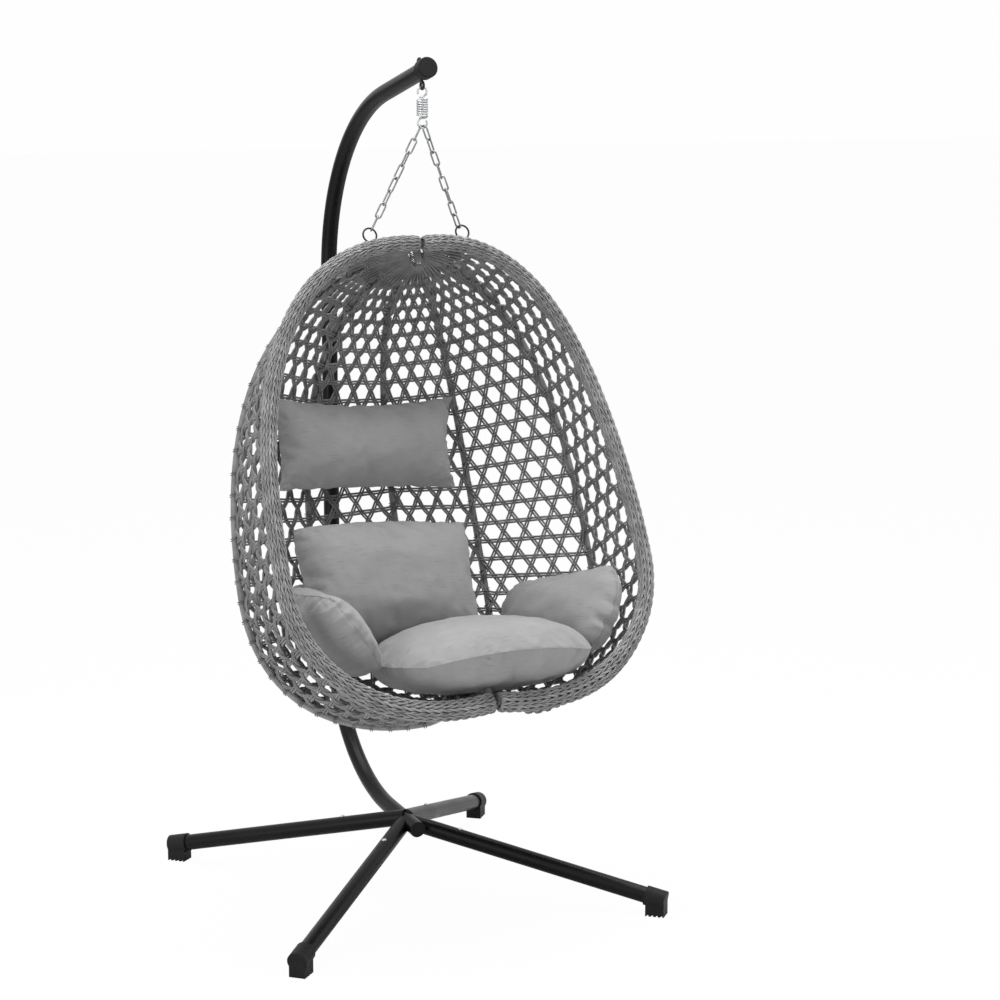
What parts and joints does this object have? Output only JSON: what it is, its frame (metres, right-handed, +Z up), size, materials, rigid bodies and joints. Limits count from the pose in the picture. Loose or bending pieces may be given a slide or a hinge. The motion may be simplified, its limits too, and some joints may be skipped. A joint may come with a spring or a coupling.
{
  "type": "hanging egg chair",
  "caption": "Hanging egg chair: a foldable woven basket with cushions on chains and a spring, under a C-shaped post with a splayed base.",
  "frame": {"origin": "on the floor, under the middle of the whole object seen from above", "axes": "+Z up, the open side of the basket faces -Y, left and right as seen from the front, so left is -X"},
  "size_m": [0.9446, 1.0194, 1.9489],
  "materials": {
    "black_steel": "satin black powder coat",
    "black_plastic": "moulded, fine grain",
    "black_hardware": "black coated",
    "bright_steel": "zinc plated",
    "plain_steel": "plain",
    "grey_rope": "braided round strand",
    "grey_wicker": "woven round strand",
    "grey_fabric": "slubby plain weave"
  },
  "bodies": {
    "stand": {"post_lower": "black_steel", "post_upper": "black_steel", "post_sleeve": "plain_steel", "post_screws": "bright_steel", "leg_sockets": "black_steel", "leg_front_left": "black_steel", "leg_front_right": "black_steel", "leg_rear_left": "black_steel", "leg_rear_right": "black_steel", "leg_screws": "bright_steel", "foot_front_left": "black_plastic", "foot_front_right": "black_plastic", "foot_rear_left": "black_plastic", "foot_rear_right": "black_plastic", "tail_plug": "black_plastic", "arm_cap": "black_plastic", "eye_bolt": "black_hardware", "eye_nut": "black_hardware"},
    "spring": {"spring_coil": "bright_steel"},
    "hook": {"spring_hook": "bright_steel"},
    "chain_tops": {"chain_top_links": "bright_steel"},
    "basket": {"chain_left": "bright_steel", "chain_right": "bright_steel", "hinge_pin_top": "plain_steel", "hinge_pin_bottom": "plain_steel", "rib_middle": "grey_wicker", "weave_left_back": "grey_wicker", "weave_right_back": "grey_wicker", "head_pillow": "grey_fabric", "back_cushion": "grey_fabric", "seat_cushion": "grey_fabric", "arm_cushion_left": "grey_fabric", "arm_cushion_right": "grey_fabric"},
    "rim_left_half": {"rim_left": "grey_rope", "ring_left": "black_hardware"},
    "rim_right_half": {"rim_right": "grey_rope", "ring_right": "black_hardware"},
    "outer_left": {"rib_left_outer": "grey_wicker", "weave_left_front": "grey_wicker"},
    "outer_right": {"rib_right_outer": "grey_wicker", "weave_right_front": "grey_wicker"},
    "inner_left": {"rib_left_inner": "grey_wicker", "weave_left_side": "grey_wicker"},
    "inner_right": {"rib_right_inner": "grey_wicker", "weave_right_side": "grey_wicker"}
  },
  "joints": [
    {"name": "sway", "type": "hinge", "parent": "stand", "child": "spring", "pos_m": [0, -0.10358, 1.87853], "axis": [0, 1, 0], "range_deg": [-10, 10]},
    {"name": "bounce", "type": "slide", "parent": "spring", "child": "hook", "axis": [0, 0, 1], "range_m": [-0.05, 0], "stiffness_N_per_m": 20000, "springref_m": 0.02, "deforming": ["spring_coil"]},
    {"name": "swing", "type": "hinge", "parent": "hook", "child": "chain_tops", "pos_m": [0, -0.10358, 1.79439], "axis": [1, 0, 0], "range_deg": [-10, 10]},
    {"name": "turn", "type": "hinge", "parent": "chain_tops", "child": "basket", "pos_m": [0, -0.10358, 1.79439], "axis": [0, 0, 1], "range_deg": [-30, 30], "deforming": ["chain_left", "chain_right"]},
    {"name": "fold", "type": "hinge", "parent": "basket", "child": "rim_right_half", "pos_m": [0, -0.0662, 1.5265], "axis": [0, 0.36, 0.933], "range_deg": [0, 69], "deforming": ["weave_left_front", "weave_left_side", "weave_left_back", "weave_right_front", "weave_right_side", "weave_right_back", "head_pillow", "back_cushion", "seat_cushion", "arm_cushion_left", "arm_cushion_right", "chain_left", "chain_right"]},
    {"name": "fold_rim_left", "type": "hinge", "parent": "basket", "child": "rim_left_half", "pos_m": [0, -0.0662, 1.5265], "axis": [0, 0.36, 0.933], "range_deg": [-69, 0]},
    {"name": "fold_outer_right", "type": "hinge", "parent": "basket", "child": "outer_right", "pos_m": [0, -0.0662, 1.5265], "axis": [0, 0.36, 0.933], "range_deg": [0, 46.01]},
    {"name": "fold_outer_left", "type": "hinge", "parent": "basket", "child": "outer_left", "pos_m": [0, -0.0662, 1.5265], "axis": [0, 0.36, 0.933], "range_deg": [-46.01, 0]},
    {"name": "fold_inner_right", "type": "hinge", "parent": "basket", "child": "inner_right", "pos_m": [0, -0.0662, 1.5265], "axis": [0, 0.36, 0.933], "range_deg": [0, 23.01]},
    {"name": "fold_inner_left", "type": "hinge", "parent": "basket", "child": "inner_left", "pos_m": [0, -0.0662, 1.5265], "axis": [0, 0.36, 0.933], "range_deg": [-23.01, 0]}
  ],
  "couplings": [
    {"joint": "fold_rim_left", "follows": "fold", "ratio": -1},
    {"joint": "fold_outer_right", "follows": "fold", "ratio": 0.66667},
    {"joint": "fold_outer_left", "follows": "fold", "ratio": -0.66667},
    {"joint": "fold_inner_right", "follows": "fold", "ratio": 0.33333},
    {"joint": "fold_inner_left", "follows": "fold", "ratio": -0.33333}
  ]
}
